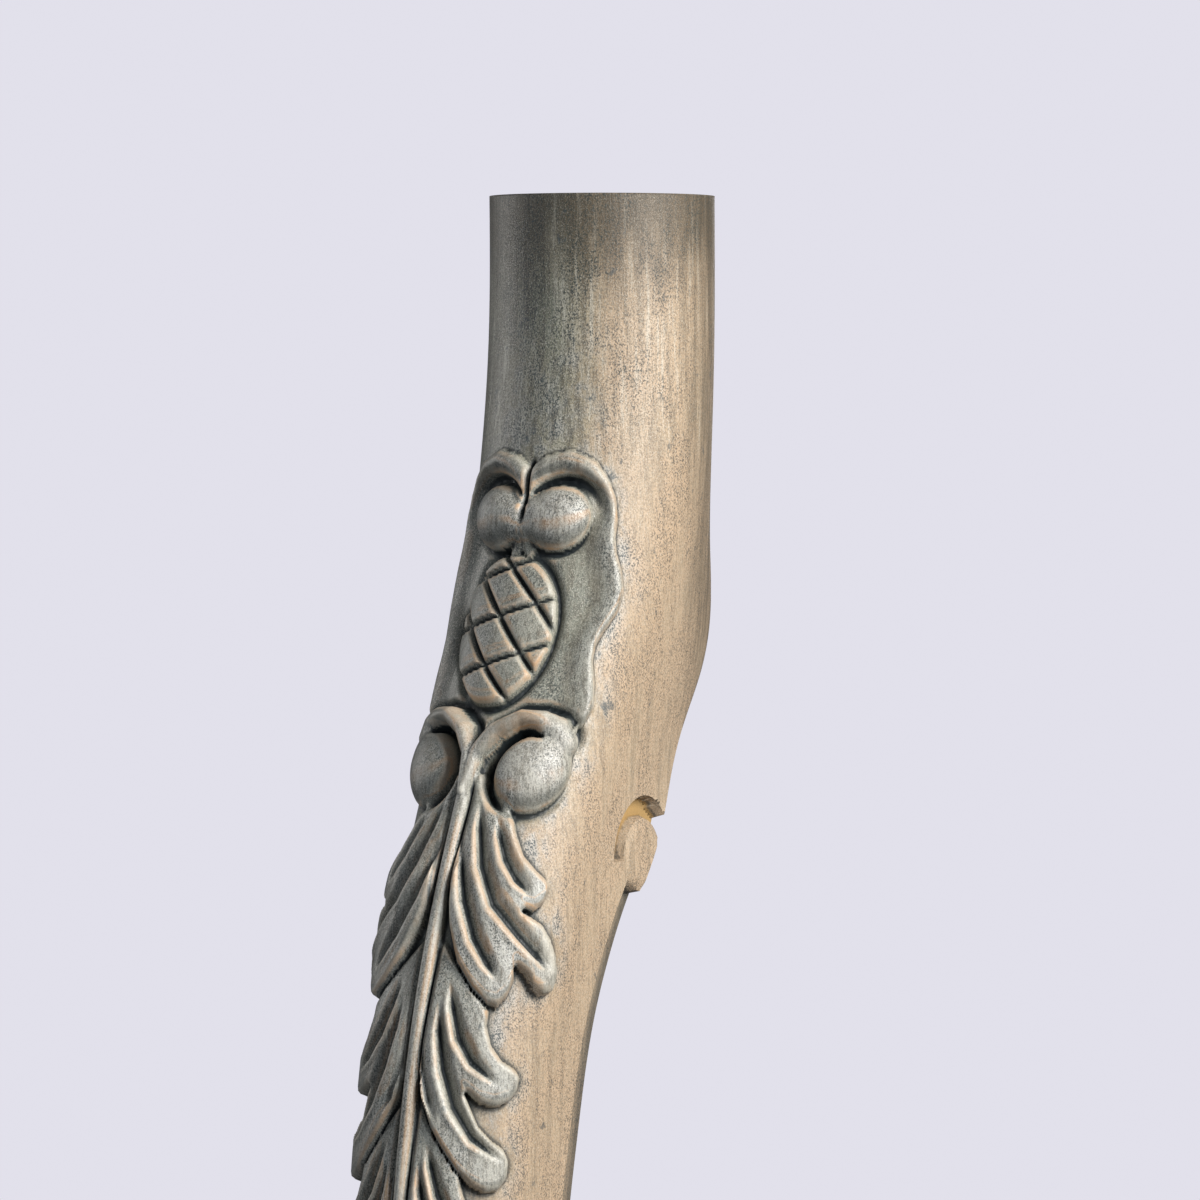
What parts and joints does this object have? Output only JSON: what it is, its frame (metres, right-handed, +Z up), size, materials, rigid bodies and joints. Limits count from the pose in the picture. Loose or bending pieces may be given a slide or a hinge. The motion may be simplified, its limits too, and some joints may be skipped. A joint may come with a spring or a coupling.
{
  "type": "table leg",
  "caption": "Carved wooden cabriole-style table leg with a round-fronted post, scrolls, a pineapple, acanthus leaves, and flat faces with mortises for aprons.",
  "frame": {"origin": "on the leg's top face, on the vertical axis of the round-fronted post", "axes": "+Z up along the leg; +X out of the face that the front apron butts against; +Y out of the face that the side apron butts against; the knee bows towards -X -Y"},
  "size_m": [0.1315, 0.1315, 0.72],
  "materials": {
    "painted_wood": "worn cream and grey-blue paint wash over brown wood, satin wax"
  },
  "bodies": {
    "root": {"leg": "painted_wood"}
  },
  "joints": []
}
